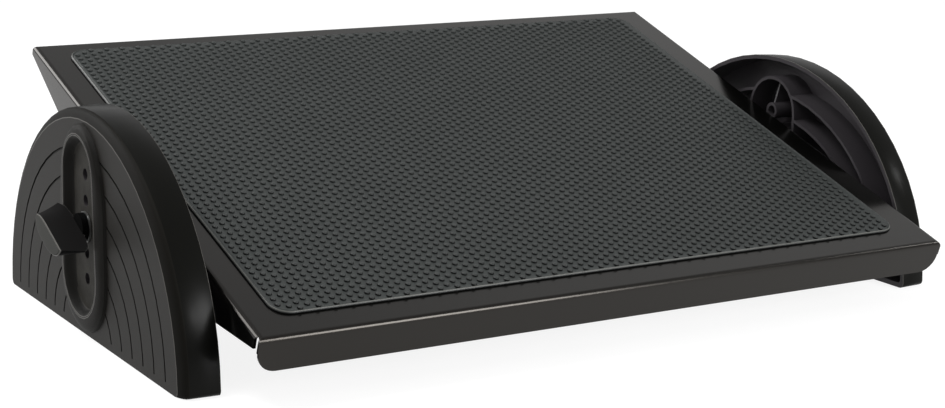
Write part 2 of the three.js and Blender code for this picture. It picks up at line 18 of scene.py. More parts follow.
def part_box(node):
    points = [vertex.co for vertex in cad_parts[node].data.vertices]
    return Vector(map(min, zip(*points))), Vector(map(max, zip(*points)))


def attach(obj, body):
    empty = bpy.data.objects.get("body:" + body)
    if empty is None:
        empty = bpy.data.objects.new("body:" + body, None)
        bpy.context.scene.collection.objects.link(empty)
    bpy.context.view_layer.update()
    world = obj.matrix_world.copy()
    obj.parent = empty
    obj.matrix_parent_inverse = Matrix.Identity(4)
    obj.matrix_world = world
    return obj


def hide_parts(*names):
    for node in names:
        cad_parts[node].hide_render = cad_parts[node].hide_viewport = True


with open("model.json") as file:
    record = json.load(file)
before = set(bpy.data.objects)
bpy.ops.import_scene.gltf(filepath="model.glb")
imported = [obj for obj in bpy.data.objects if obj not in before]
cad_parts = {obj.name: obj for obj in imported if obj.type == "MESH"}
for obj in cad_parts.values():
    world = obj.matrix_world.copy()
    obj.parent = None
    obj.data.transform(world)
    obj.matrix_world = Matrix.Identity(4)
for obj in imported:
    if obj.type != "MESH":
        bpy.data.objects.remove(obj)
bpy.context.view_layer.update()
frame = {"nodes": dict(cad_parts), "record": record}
record = frame["record"]

# %% [markdown]
# ## Units and bodies
#
# A maker thinks in millimetres and Blender works in metres, so one short factor is written once.
# The record says which body carries each node and which finish it has. Reading the body from
# there keeps a new piece from riding on the wrong body.

# %% Millimetres and bodies from the record
MM = 0.001
body_of = {node: body for body, nodes in record["behaviour"]["bodies"].items() for node in nodes}

# %% [markdown]
# ## The camera
#
# The photograph is taken from the front left, a little above the deck, with a long lens. The
# place and the lens were worked out from the straight edges of the deck and the stands. A
# camera in Blender looks along its own -Z, so a quarter turn about X first makes it look level.
# Pitch and yaw follow, and the small roll comes last, about its own axis.

# %% Camera
LENS_PLACE = Vector((-0.624429, -1.011458, 0.316861))
LENS_MM = 76.207
LENS_YAW = math.radians(-31.41)
LENS_PITCH = math.radians(-12.578)
LENS_ROLL = math.radians(-1.135)
NEAREST_SEEN = 10 * MM


def set_up_camera():
    lens = bpy.data.cameras.new("camera")
    lens.lens = LENS_MM
    lens.clip_start = NEAREST_SEEN
    camera = bpy.data.objects.new("camera", lens)
    bpy.context.scene.collection.objects.link(camera)
    turn = Matrix.Rotation(LENS_YAW, 4, "Z") @ Matrix.Rotation(math.pi / 2 + LENS_PITCH, 4, "X")
    camera.matrix_world = Matrix.Translation(LENS_PLACE) @ turn @ Matrix.Rotation(-LENS_ROLL, 4, "Z")
    bpy.context.scene.camera = camera
    return camera


camera = set_up_camera()
print("camera looks along", [round(v, 4) for v in camera.matrix_world.col[2].xyz * -1])

# %% [markdown]
# ## One helper for colours and one for nodes
#
# Colours are picked in sRGB, as a paint card or a screen gives them, and a shader wants them
# linear. A node needs settings and links, and both fit in one call, so a finish reads like a
# recipe. A noise texture counts its waves per metre, and a grain is easier to think of as waves
# per millimetre. The Mix node keeps a set of sockets for each kind of data, all with the same
# names, so the ones for colours are given by their numbers.

# %% Colour and node helpers
MIX_FACTOR, MIX_A, MIX_B, MIX_RESULT = 0, 6, 7, 2


def linear(code):
    levels = [int(code[i:i + 2], 16) / 255 for i in (1, 3, 5)]
    straight = [v / 12.92 if v <= 0.04045 else ((v + 0.055) / 1.055) ** 2.4 for v in levels]
    return (*straight, 1.0)


def per_mm(waves):
    return waves / MM


def add(tree, kind, inputs=None, **settings):
    node = tree.nodes.new(kind)
    for name, value in settings.items():
        setattr(node, name, value)
    for name, value in (inputs or {}).items():
        if isinstance(value, bpy.types.NodeSocket):
            tree.links.new(value, node.inputs[name])
        else:
            node.inputs[name].default_value = value
    return node


def finish_named(name):
    material = bpy.data.materials.new(name)
    material.use_nodes = True
    material.node_tree.nodes.clear()
    return material, material.node_tree


print("a charcoal grey is", [round(v, 3) for v in linear("#3f3e3b")])

# %% [markdown]
# ## The room
#
# Black gloss paint shows the room more than itself, so the room matters. Its walls are a plain
# mid grey, with one soft, slightly brighter patch high up at the back right. The deck mirrors
# that patch, and its top looks charcoal instead of black.

# %% Grey walls
ROOM_GREY = 0.5
BRIGHT_WALL = 0.72
BRIGHT_WALL_WAY = (0.6, 0.6, 0.53)
BRIGHT_WALL_RIM = 0.95


def place_in_scene(obj):
    bpy.context.scene.collection.objects.link(obj)
    return obj


def paint_room():
    world = bpy.data.worlds.new("grey_room")
    world.use_nodes = True
    tree = world.node_tree
    tree.nodes.clear()
    way = add(tree, "ShaderNodeTexCoord").outputs["Generated"]
    towards = add(tree, "ShaderNodeVectorMath", {0: way, 1: BRIGHT_WALL_WAY}, operation="DOT_PRODUCT")
    level = add(tree, "ShaderNodeMapRange", {
        "Value": towards.outputs["Value"],
        "From Min": BRIGHT_WALL_RIM,
        "From Max": 1.0,
        "To Min": ROOM_GREY,
        "To Max": BRIGHT_WALL,
    }, interpolation_type="SMOOTHSTEP")
    walls = add(tree, "ShaderNodeBackground", {"Color": (1, 1, 1, 1), "Strength": level.outputs[0]})
    add(tree, "ShaderNodeOutputWorld", {"Surface": walls.outputs[0]})
    bpy.context.scene.world = world
    return world


print("painted", paint_room().name)

# %% [markdown]
# ## The floor
#
# A sheet of white paper runs out behind the object and is all that the camera sees of the
# studio. It glows for the camera, so that it stays white where the lamps fall off, and its own
# grey still takes the shadow. Gloss and metal see it too, a little dimmer, as the front flange
# mirrors it straight into the lens.

# %% White paper
PAPER_WHITE = 0.24
PAPER_GLOW = 0.86
PAPER_GLOW_MIRRORED = 0.78
FLOOR_HALF = 12


def white_paper():
    paper, tree = finish_named("white_paper")
    path = add(tree, "ShaderNodeLightPath").outputs
    gloss_or_glass = {0: path["Is Glossy Ray"], 1: path["Is Transmission Ray"]}
    mirrored = add(tree, "ShaderNodeMath", gloss_or_glass, operation="MAXIMUM")
    dimmer = add(tree, "ShaderNodeMath", {0: mirrored.outputs[0], 1: PAPER_GLOW_MIRRORED}, operation="MULTIPLY")
    seen = add(tree, "ShaderNodeMath", {0: path["Is Camera Ray"], 1: PAPER_GLOW}, operation="MULTIPLY")
    strength = add(tree, "ShaderNodeMath", {0: seen.outputs[0], 1: dimmer.outputs[0]}, operation="MAXIMUM")
    matt = add(tree, "ShaderNodeBsdfDiffuse", {"Color": (PAPER_WHITE, PAPER_WHITE, PAPER_WHITE, 1)})
    glow = add(tree, "ShaderNodeEmission", {"Color": (1, 1, 1, 1), "Strength": strength.outputs[0]})
    both = add(tree, "ShaderNodeAddShader", {0: matt.outputs[0], 1: glow.outputs[0]})
    add(tree, "ShaderNodeOutputMaterial", {"Surface": both.outputs[0]})
    return paper


def lay_floor():
    mesh = bpy.data.meshes.new("floor")
    corners = [(x * FLOOR_HALF, y * FLOOR_HALF, 0) for x, y in ((-1, -1), (1, -1), (1, 1), (-1, 1))]
    mesh.from_pydata(corners, [], [(0, 1, 2, 3)])
    mesh.materials.append(white_paper())
    floor = place_in_scene(bpy.data.objects.new("floor", mesh))
    return floor


print("floor spans, m:", [round(v, 1) for v in lay_floor().dimensions])

# %% [markdown]
# ## The lamps
#
# Five lamps hang round the object. The overhead box lights the mat. The front box stands at the
# front right, where the fold of the deck mirrors it as one thin light line. The back left box
# fills the face of the left stand. Two small spots each give one soft highlight, low on the
# round band of a stand. A brightness of 1 is as bright as a white wall, and the power in watts
# follows from the size.

# %% Soft boxes and spots
# name: (place, aim, size, brightness), all lengths in metres
LAMPS = {
    "overhead_soft_box": ((-0.55, 0.05, 1.25), (-0.05, 0, 0), (0.5, 0.5), 10),
    "front_soft_box": ((0.6, -1.45, 0.42), (0, -0.15, 0.03), (0.45, 0.8), 14),
    "back_left_soft_box": ((-1.2, 1.4, 1.0), (0, 0, 0.05), (1.1, 1.1), 5.5),
    "left_stand_spot": ((0.31, -1.89, 0.80), (-0.24, -0.12, 0.045), (0.15, 0.15), 50),
    "right_stand_spot": ((1.74, -1.06, 1.3), (0.24, -0.11, 0.06), (0.15, 0.15), 40),
}


def hang_lamp(name, place, aim, size, brightness):
    lamp = bpy.data.lights.new(name, "AREA")
    lamp.shape = "RECTANGLE"
    lamp.size, lamp.size_y = size
    lamp.energy = math.pi * size[0] * size[1] * brightness
    box = place_in_scene(bpy.data.objects.new(name, lamp))
    box.location = place
    box.rotation_euler = (Vector(aim) - Vector(place)).to_track_quat("-Z", "Y").to_euler()
    print(name, "draws", round(lamp.energy, 1), "W")


for lamp_name, settings in LAMPS.items():
    hang_lamp(lamp_name, *settings)
bpy.context.scene.view_settings.view_transform = "Standard"

# %% [markdown]
# ## Powder-coated steel
#
# The deck is sprayed with a dry powder that melts in an oven. That leaves a skin with a faint
# orange peel of about a millimetre and a soft gloss: nearly black by itself, charcoal where it
# mirrors the walls. The peel drives both the gloss and a very low bump, so a mirrored edge goes
# slightly soft, and a slow cloud keeps the black from looking like a flat fill.

# %% Powder-coated steel
def powder_coated_steel():
    coat, tree = finish_named("powder_coated_steel")
    place = add(tree, "ShaderNodeTexCoord").outputs["Object"]
    peel = add(tree, "ShaderNodeTexNoise", {"Vector": place, "Scale": per_mm(0.9), "Detail": 2, "Roughness": 0.5})
    cloud = add(tree, "ShaderNodeTexNoise", {"Vector": place, "Scale": per_mm(0.014), "Detail": 3})
    black = {MIX_FACTOR: cloud.outputs["Fac"], MIX_A: linear("#040404"), MIX_B: linear("#070706")}
    gloss = add(tree, "ShaderNodeMapRange", {"Value": peel.outputs["Fac"], "To Min": 0.14, "To Max": 0.22})
    skin = add(tree, "ShaderNodeBump", {"Height": peel.outputs["Fac"], "Strength": 0.08, "Distance": 0.1 * MM})
    paint = add(tree, "ShaderNodeBsdfPrincipled", {
        "Base Color": add(tree, "ShaderNodeMix", black, data_type="RGBA").outputs[MIX_RESULT],
        "Roughness": gloss.outputs[0],
        "Normal": skin.outputs[0],
        "Specular IOR Level": 0.37,
        "Specular Tint": linear("#fff7ee"),
    })
    add(tree, "ShaderNodeOutputMaterial", {"Surface": paint.outputs[0]})
    return coat


steel_coat = powder_coated_steel()
print("made", steel_coat.name)

# %% [markdown]
# ## Moulded rubber
#
# The mat and the pads are pressed in a hot mould. Rubber scatters light softly and stays dull,
# with a slight greenish grey bloom in clouds of 40 mm. The grain of the mould is about a tenth
# of a millimetre, too fine for this picture, so it is drawn seven times coarser. The steep
# flanks of the nubs and the outer wall of the rim get a painted shade: the mesh carries a value
# called "flank_shade" that says where, and the finish mixes to a darker colour there.

# %% Moulded rubber
def moulded_rubber(name, dark, light, roughness, flank_shade=None, specular=0.32):
    rubber, tree = finish_named(name)
    place = add(tree, "ShaderNodeTexCoord").outputs["Object"]
    grain = add(tree, "ShaderNodeTexNoise", {"Vector": place, "Scale": per_mm(1.4), "Detail": 3, "Roughness": 0.6})
    bloom = add(tree, "ShaderNodeTexNoise", {"Vector": place, "Scale": per_mm(0.025), "Detail": 4})
    shades = {MIX_FACTOR: bloom.outputs["Fac"], MIX_A: linear(dark), MIX_B: linear(light)}
    tint = add(tree, "ShaderNodeMix", shades, data_type="RGBA").outputs[MIX_RESULT]
    # Painted shade: where the mesh says so, the colour is mixed to a darker one.
    if flank_shade:
        steep = add(tree, "ShaderNodeAttribute", attribute_name="flank_shade")
        shades = {MIX_FACTOR: steep.outputs["Fac"], MIX_A: tint, MIX_B: linear(flank_shade)}
        tint = add(tree, "ShaderNodeMix", shades, data_type="RGBA").outputs[MIX_RESULT]
    relief = add(tree, "ShaderNodeBump", {"Height": grain.outputs["Fac"], "Strength": 0.25, "Distance": 0.1 * MM})
    body = add(tree, "ShaderNodeBsdfPrincipled", {
        "Base Color": tint,
        "Roughness": roughness,
        "Normal": relief.outputs[0],
        "Specular IOR Level": specular,
    })
    add(tree, "ShaderNodeOutputMaterial", {"Surface": body.outputs[0]})
    return rubber


# Worn by shoes: a dull grey green that spreads the light of the overhead box. Its flanks get a painted shade.
mat_rubber = moulded_rubber("moulded_mat_rubber", "#2d302f", "#343736", 0.5, flank_shade="#040505")
# The same rubber with almost no sheen and a painted shade, so each nub gets a dark lee side.
shaded_flank_rubber = moulded_rubber("painted_shade_flank_rubber", "#2d302f", "#343736", 0.7, flank_shade="#030404", specular=0.06)
# Painted highlight: a thin light line round the mat, on the ridge of the rim.
rim_highlight_rubber = moulded_rubber("painted_highlight_rim_rubber", "#50514e", "#5a5b57", 0.4, flank_shade="#040505")
# Plain black rubber from a rough mould: it stays dull under the feet of the stands.
pad_rubber = moulded_rubber("moulded_pad_rubber", "#141415", "#1c1c1e", 0.7)
print("made", [rubber.name for rubber in (mat_rubber, shaded_flank_rubber, rim_highlight_rubber, pad_rubber)])

# %% [markdown]
# ## Moulded plastics
#
# The stands are injection moulded in black ABS and the knobs in nylon. What the eye tells apart
# is the steel of the mould: spark eroded, polished or plain. One recipe makes them all: a grain
# that gives a bump, a slow cloud between two close shades, and its own gloss. Spark erosion
# leaves pits of about a tenth of a millimetre, too fine for this picture, so the grains are
# drawn five to eleven times coarser. Flat bands of a moulding sink a little at their edges as the
# plastic cools. The crown is that dome across the band, and it narrows the highlight on it.
# After its name and two shades, a finish is told by its roughness, the waves of its grain in a
# millimetre, the depth of that grain in millimetres and how strongly it mirrors.

# %% One recipe for every moulded plastic
BAND_MIDDLE = 241.5


def moulded_plastic(name, dark, light, roughness, grain, relief_mm, specular, crown=0, cloud=0.018):
    plastic, tree = finish_named(name)
    place = add(tree, "ShaderNodeTexCoord").outputs["Object"]
    pits = add(tree, "ShaderNodeTexNoise", {"Vector": place, "Scale": per_mm(grain), "Detail": 3, "Roughness": 0.55})
    cloudy = add(tree, "ShaderNodeTexNoise", {"Vector": place, "Scale": per_mm(cloud), "Detail": 3})
    shades = {MIX_FACTOR: cloudy.outputs["Fac"], MIX_A: linear(dark), MIX_B: linear(light)}
    relief = add(tree, "ShaderNodeBump", {"Height": pits.outputs["Fac"], "Strength": 0.5, "Distance": relief_mm * MM})
    if crown:
        x = add(tree, "ShaderNodeSeparateXYZ", {0: place}).outputs[0]
        across = add(tree, "ShaderNodeMath", {0: x}, operation="ABSOLUTE").outputs[0]
        off = add(tree, "ShaderNodeMath", {0: across, 1: BAND_MIDDLE * MM}, operation="SUBTRACT").outputs[0]
        square = add(tree, "ShaderNodeMath", {0: off, 1: off}, operation="MULTIPLY").outputs[0]
        dome = add(tree, "ShaderNodeMath", {0: square, 1: -crown}, operation="MULTIPLY").outputs[0]
        bump = {"Height": dome, "Normal": relief.outputs[0], "Strength": 1, "Distance": 1}
        relief = add(tree, "ShaderNodeBump", bump)
    body = add(tree, "ShaderNodeBsdfPrincipled", {
        "Base Color": add(tree, "ShaderNodeMix", shades, data_type="RGBA").outputs[MIX_RESULT],
        "Roughness": roughness,
        "Normal": relief.outputs[0],
        "Specular IOR Level": specular,
    })
    add(tree, "ShaderNodeOutputMaterial", {"Surface": body.outputs[0]})
    return plastic


print("the band's crown is highest", BAND_MIDDLE, "mm from the middle")

# %% [markdown]
# ## Moulded ABS of the stands
#
# A stand shows seven finishes. The face is spark eroded and looks the lightest, the collar is
# coarser, the band comes off polished steel, and the shoulder between band and face is dull.
# The hollow is plain, slightly blue and painted lighter than the rest for the light in it. Crisp
# edges carry a painted highlight, and the floor of the recess is rubbed in patches where the knob
# and its washer have slid.

# %% Finishes of the stands
# Spark-eroded steel: fine pits that scatter the light, so the face looks matt and lighter.
grained_abs = moulded_plastic("spark_grained_abs", "#191714", "#1e1c19", 0.5, 1.8, 0.06, 0.12)
# Eroded harder: deeper pits with shadows in them, so the collar looks dusty and darker.
coarse_abs = moulded_plastic("coarse_grained_abs", "#191816", "#22211f", 0.55, 1.1, 0.2, 0.08)
# The same, rubbed in patches of some 8 mm: a mottled grey.
worn_abs = moulded_plastic("worn_coarse_abs", "#1e1d1a", "#413f3b", 0.6, 1.1, 0.2, 0.08, cloud=0.13)
# Polished steel: a deep black with one clear, soft highlight.
smooth_abs = moulded_plastic("smooth_moulded_abs", "#0b0b09", "#0f0f0d", 0.26, 0.9, 0.01, 0.08, crown=9)
# The parting line of the mould, blasted: no highlight, so the shoulder reads as a soft turn.
shoulder_abs = moulded_plastic("dull_shoulder_abs", "#12110f", "#171613", 0.55, 0.9, 0.02, 0.05)
# Milled steel, not finished: a plain satin, painted lighter than the rest of the moulding for the light in the
# hollow.
inner_lit_abs = moulded_plastic("plain_abs_painted_light", "#383538", "#403d40", 0.42, 0.9, 0.03, 0.25)
# Painted highlight on crisp edges: a thin light line that draws the outline of the face, collar and lip.
edge_highlight_abs = moulded_plastic("painted_highlight_edge_abs", "#4e4c49", "#5a5854", 0.45, 0.9, 0.01, 0.2)
STAND_FINISHES = [smooth_abs, grained_abs, coarse_abs, inner_lit_abs, edge_highlight_abs, worn_abs, shoulder_abs]
SMOOTH, GRAINED, COARSE, INNER_LIT, EDGE_HIGHLIGHT, WORN, SHOULDER = range(len(STAND_FINISHES))
print("made", [finish.name for finish in STAND_FINISHES])

# %% [markdown]
# ## Moulded nylon of the knobs
#
# Glass-filled nylon is stiff enough for a wing. Its flat is black and dull, because the fibres
# lie just under the skin. The end has the coarse grain that a thumb needs and is painted lighter
# for the light it catches, and its edges carry a painted highlight. The hub sits in the recess
# and gets a painted shade: it only shows as a black turn.

# %% Finishes of the knobs and washers
# Fibres under a thin skin: black with a soft sheen.
knob_nylon = moulded_plastic("glass_filled_nylon", "#0e0d0d", "#141313", 0.5, 1.3, 0.03, 0.1)
# Spark-eroded deeply for grip, and painted lighter than the flat for the light the end catches: a light grey.
knob_grain_lit = moulded_plastic("coarse_grained_nylon_painted_light", "#363634", "#464643", 0.6, 1.1, 0.15, 0.1)
# Painted highlight: a light outline round the end.
edge_highlight_nylon = moulded_plastic("painted_highlight_edge_nylon", "#6c6b68", "#787773", 0.45, 0.9, 0.01, 0.3)
# Painted shade on the hub and on the arc of the wing: near black, with nearly no light coming back.
hub_shade_nylon = moulded_plastic("painted_shade_hub_nylon", "#040404", "#060606", 0.5, 1.3, 0.02, 0.04)
# Unfilled nylon of the friction washers: smooth, so it slides.
slide_nylon = moulded_plastic("plain_black_nylon", "#1a1a1b", "#202022", 0.45, 0.9, 0.02, 0.4)
KNOB_FINISHES = [knob_nylon, knob_grain_lit, edge_highlight_nylon, hub_shade_nylon]
NYLON, NYLON_GRAIN_LIT, NYLON_EDGE_HIGHLIGHT, NYLON_HUB_SHADE = range(len(KNOB_FINISHES))
print("made", [finish.name for finish in (*KNOB_FINISHES, slide_nylon)])

# %% [markdown]
# ## Bright zinc plate
#
# Screws, nuts and washers are steel with a thin coat of zinc. It is a metal, so it takes its
# colour in the reflection, and the plating bath leaves it slightly uneven in gloss, in flecks
# of about 3 mm.

# %% Zinc-plated steel
def zinc_plated_steel():
    zinc, tree = finish_named("zinc_plated_steel")
    place = add(tree, "ShaderNodeTexCoord").outputs["Object"]
    bath = add(tree, "ShaderNodeTexNoise", {"Vector": place, "Scale": per_mm(0.3), "Detail": 4})
    gloss = add(tree, "ShaderNodeMapRange", {"Value": bath.outputs["Fac"], "To Min": 0.22, "To Max": 0.42})
    shades = {MIX_FACTOR: bath.outputs["Fac"], MIX_A: linear("#9fa0a0"), MIX_B: linear("#bcbdbb")}
    metal = add(tree, "ShaderNodeBsdfPrincipled", {
        "Base Color": add(tree, "ShaderNodeMix", shades, data_type="RGBA").outputs[MIX_RESULT],
        "Roughness": gloss.outputs[0],
        "Metallic": 1.0,
    })
    add(tree, "ShaderNodeOutputMaterial", {"Surface": metal.outputs[0]})
    return zinc


zinc = zinc_plated_steel()
print("made", zinc.name)

# %% [markdown]
# ## Softening the edges of a CAD solid
#
# A CAD solid has knife edges, and no real part has. Its mesh is copied, the split corners are
# welded, flat regions become single faces, and every edge sharper than a chosen angle gets a
# narrow round. That round is what catches the light on a real edge. Where edges crowd, Blender
# narrows the rounds so that they don't overlap. Some edges have to show as a light line, so they
# go first, in a group of their own, at full width. The CAD node itself is left alone: the copy
# takes its place.

# %% Welding and rounding
FLAT = math.radians(0.6)
WELD = 0.002 * MM
BARELY_BENT = math.radians(3)
SHARP = math.radians(30)
SHADED_SHARP = math.radians(40)
ROUND_STEPS = 2
ROUND_FULLNESS = 0.6


def rounded(work, edges, radius_mm, narrow_where_crowded):
    result = bmesh.ops.bevel(
        work, geom=edges, offset=radius_mm * MM, segments=ROUND_STEPS, profile=ROUND_FULLNESS,
        affect="EDGES", clamp_overlap=narrow_where_crowded)
    return set(result["faces"])


def welded(source):
    work = bmesh.new()
    work.from_mesh(source)
    bmesh.ops.remove_doubles(work, verts=work.verts, dist=WELD)
    bmesh.ops.dissolve_limit(work, angle_limit=FLAT, verts=work.verts, edges=work.edges)
    return work


print("edges bent by more than", round(math.degrees(SHARP)), "degrees get a round")

# %% [markdown]
# ## From the work mesh to a piece of the model
#
# Every piece ends the same way. It gets its finishes, rides on the body of its CAD node, takes
# the node's place and fills its material slot. Shading could be baked into the mesh, but a
# modifier with weighted normals is one line: it makes the large faces look flat right up to the
# rounds, as they are on a real part.

# %% Rounded copy of a CAD node
def smooth_piece(work, name, finishes):
    mesh = bpy.data.meshes.new(name)
    work.to_mesh(mesh)
    work.free()
    if "custom_normal" in mesh.attributes:
        mesh.attributes.remove(mesh.attributes["custom_normal"])
    mesh.shade_smooth()
    mesh.set_sharp_from_angle(angle=SHADED_SHARP)
    for finish in finishes:
        mesh.materials.append(finish)
    piece = place_in_scene(bpy.data.objects.new(name, mesh))
    piece.modifiers.new("even_normals", "WEIGHTED_NORMAL").keep_sharp = True
    return piece


def rounded_copy(node, name, finishes, edge_mm, lit=None, lit_mm=0.0, lit_index=0):
    work = welded(frame["nodes"][node].data)
    lit_edges = [
        e for e in work.edges
        if lit and e.calc_face_angle(0) > BARELY_BENT and all(lit(v.co / MM) for v in e.verts)
    ]
    lit_faces = rounded(work, lit_edges, lit_mm, False)
    sharp = [
        e for e in work.edges
        if e.calc_face_angle(0) > SHARP and not lit_faces & set(e.link_faces)
    ]
    rounded(work, sharp, edge_mm, True)
    for face in work.faces:
        # The rounds of the light lines get the finish with the painted highlight.
        face.material_index = lit_index if face in lit_faces else 0
    piece = smooth_piece(work, name, finishes)
    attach(piece, body_of[node])
    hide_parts(node)
    edges = f"{len(sharp)} rounded edges and {len(lit_edges)} in light lines"
    print(name, "has", len(piece.data.polygons), "faces,", edges)
    return piece


# %% [markdown]
# ## The deck
#
# One sheet of steel, folded down on all four sides. It could be folded again here from a flat
# mesh, but the folds of the CAD are right already. The cut edges of a real sheet only lose their
# burr, so the round is a fifth of a millimetre.

# %% Steel deck
CUT_EDGE = 0.2
rounded_copy("deck_plate", "folded_steel_deck", [steel_coat], CUT_EDGE)

# %% [markdown]
# ## How far out a point of a stand lies
#
# Both stands are one moulding, turned round. Finishes could be painted on by hand, but a rule
# does both stands at once, and it needs a measure. The face and the band are half ellipses about
# the same centre, so one number says how far out a point lies: 1 is on the ellipse.

# %% Half ellipses of a stand
tilt_joint = next(j for j in record["behaviour"]["joints"] if j["name"] == "deck_tilt")
pivot = Vector(tilt_joint["pos_m"])
STAND_MIDDLE = pivot.y / MM
# half length and height
FACE_OVAL = (126.6, 120.8)
BAND_OVAL = (134.2, 127.2)


def half_round(y, z, oval):
    return math.hypot((y - STAND_MIDDLE) / oval[0], z / oval[1])


print("the stands' ellipses share a centre at y", round(STAND_MIDDLE, 2), "mm")

# %% [markdown]
# ## Which finish a face of a stand gets
#
# A mould maker grains the face and the collar, polishes the band and leaves the hollow plain.
# The rule tells them apart by three things: the distance from the middle of the footrest, how
# far out a face lies on its ellipse, and how much it looks outwards.

# %% Finish of a face
# distances from the middle of the footrest
FACE_PLANE = 250.4
FACE_SLACK = 0.12
GRAIN_FROM = 243
LIP_PLANE = 230.5
RECESS_HALF_WIDTH = 16
# how far out on the ellipse
BAND_FROM = 0.985
WALL_FROM = 0.96
# how a face looks: 1 is straight outwards, 0 sideways and -1 straight inwards
STRAIGHT_OUT, MOSTLY_OUT, HALF_OUT, A_LITTLE_OUT = 0.9, 0.6, 0.5, 0.2
A_LITTLE_IN, MOSTLY_IN = -0.3, -0.7


def finish_of(face):
    x, y, z = face.center / MM
    outward = face.normal.x * math.copysign(1, x)
    if abs(x) > GRAIN_FROM and outward > A_LITTLE_IN and half_round(y, z, FACE_OVAL) < 1:
        if abs(abs(x) - FACE_PLANE) < FACE_SLACK and outward > STRAIGHT_OUT:
            return GRAINED
        in_recess = abs(y - STAND_MIDDLE) < RECESS_HALF_WIDTH and abs(x) < FACE_PLANE
        return WORN if outward > MOSTLY_OUT and in_recess else COARSE
    how_far_out = half_round(y, z, BAND_OVAL)
    # Faces looking into the hollow get the plain finish, painted lighter for the light in the hollow.
    if abs(x) < LIP_PLANE and outward < MOSTLY_IN:
        return SHOULDER if how_far_out > WALL_FROM else INNER_LIT
    if how_far_out > BAND_FROM or outward > HALF_OUT:
        return SHOULDER if outward > A_LITTLE_OUT else SMOOTH
    return INNER_LIT


print("the grained face lies", FACE_PLANE, "mm from the middle")

# %% [markdown]
# ## Which edges show as a light line
#
# On dark plastic a thin light line along an edge draws the shape, and here it is a painted
# highlight. Rounding all edges alike would lose that, so three of them are picked by place: the
# edge round the face, the edge of the lip and the crest of the collar. An edge counts when both
# its ends lie there.

# %% Light lines
COLLAR_CREST = 254.2
LIP_EDGE = 230.1
LIP_EDGE_FROM = 0.99
FACE_EDGE_FROM, FACE_EDGE_TO = 0.985, 1.03
FACE_EDGE_SLACK = 0.05


def on_light_line(corner):
    out_on_face = half_round(corner.y, corner.z, FACE_OVAL)
    out_on_band = half_round(corner.y, corner.z, BAND_OVAL)
    in_face_plane = abs(abs(corner.x) - FACE_PLANE) < FACE_EDGE_SLACK
    on_face_edge = in_face_plane and FACE_EDGE_FROM < out_on_face < FACE_EDGE_TO
    on_lip = abs(corner.x) < LIP_EDGE and out_on_band > LIP_EDGE_FROM
    return on_face_edge or on_lip or abs(corner.x) > COLLAR_CREST


print("the crest of the collar starts", COLLAR_CREST, "mm from the middle")

# %% [markdown]
# ## The side stands
#
# A moulding of this size has rounds of about a third of a millimetre, because that is what the
# cutter leaves in the mould. The light lines are a little narrower. The stand could be lofted
# again here, but its grooves, ribs and collar are all in the CAD, so a rounded copy keeps them.

# %% Side stands
MOULD_ROUND = 0.35
LIGHT_LINE = 0.27


def build_stand(side):
    stand = rounded_copy(
        f"{side}_stand", f"{side}_side_stand", STAND_FINISHES, MOULD_ROUND,
        lit=on_light_line, lit_mm=LIGHT_LINE, lit_index=EDGE_HIGHLIGHT)
    for face in stand.data.polygons:
        if face.material_index != EDGE_HIGHLIGHT:
            face.material_index = finish_of(face)
    used = [face.material_index for face in stand.data.polygons]
    print(stand.name, "faces by finish:", [used.count(i) for i in range(len(STAND_FINISHES))])


for side in ("left", "right"):
    build_stand(side)

# %% [markdown]
# ## Screws, washers, nuts and pads
#
# Small parts could stay as the CAD made them, but a knife edge on bright zinc gives itself away.
# They get the same treatment with rounds to their own scale: a stamped washer loses little more
# than its burr, and a rubber pad is softer.

# %% Small parts
# node: (name, finish, round in mm)
SMALL_PARTS = {
    "knob_screw": ("clamp_screw", zinc, 0.12),
    "washer": ("flat_washer", zinc, 0.12),
    "weld_nut": ("hex_weld_nut", zinc, 0.2),
    "friction_washer": ("slide_washer", slide_nylon, 0.15),
    "front_pad": ("front_foot_pad", pad_rubber, 0.25),
    "back_pad": ("back_foot_pad", pad_rubber, 0.25),
}
for side in ("left", "right"):
    for node, (name, finish, edge_mm) in SMALL_PARTS.items():
        rounded_copy(f"{side}_{node}", f"{side}_{name}", [finish], edge_mm)

# %% [markdown]
# ## The section of the wing
#
# The knob is a half-moon wing on a short hub. A rounded copy of the CAD's plainer wing would do
# from afar, but its end is what the eye goes to, so the wing is lofted again from rings. The
# section is a flat back and half an oval, and the upper tip is eased where a thumb pushes. Each
# point is given along the chord and along the depth. The powers keep the easing near the tip.

# %% Section of the wing
WING_FULLNESS = 0.85
TIP_TRIM = 2.2
TIP_DROP = 2.4
ARC_STEPS = 32
FLAT_STEPS = 14


def half_moon(chord, depth):
    turns = [math.pi * j / ARC_STEPS for j in range(ARC_STEPS + 1)]
    arc = [(chord * math.cos(t), -depth * max(math.sin(t), 0) ** WING_FULLNESS) for t in turns]
    flat = [(chord * (2 * i / FLAT_STEPS - 1), 0) for i in range(1, FLAT_STEPS)]
    return arc + flat


def tip_eased(c, m, chord, share):
    towards_tip = max(c / chord, 0)
    return c - TIP_TRIM * towards_tip ** 4 * share, m - TIP_DROP * towards_tip ** 3 * share


print(ARC_STEPS + FLAT_STEPS, "points round the section")

# %% [markdown]
# ## The wing from its foot to its end
#
# The section grows along the screw, shallow at the foot and full at the end. The foot bows away
# from the stand towards both tips, so that fingers get behind it. The end is cut on a slant,
# slightly domed, with a soft round. A bevel could make that round, but here the rings do, so
# that each strip of it can have its own finish.

# %% Rings of the wing
WING_FOOT = 2.4
WING_END = 20.6
WING_SLANT = math.tan(math.radians(9))
WING_HALF_CHORD = 23
WING_TAPER = 3
WING_DEPTH = 9.9
WING_FOOT_DEPTH = 4
FOOT_BOW = 2.4
FOOT_CORNER = 2.2
END_ROUND = 1.3
END_ROUND_STEPS = 5
END_DOME = 0.2
END_MIDDLE = -0.42 * WING_DEPTH
LOFT_SHARES = (0, 0.12, 0.4, 0.7)
DOME_SCALES = (0.7, 0.35)


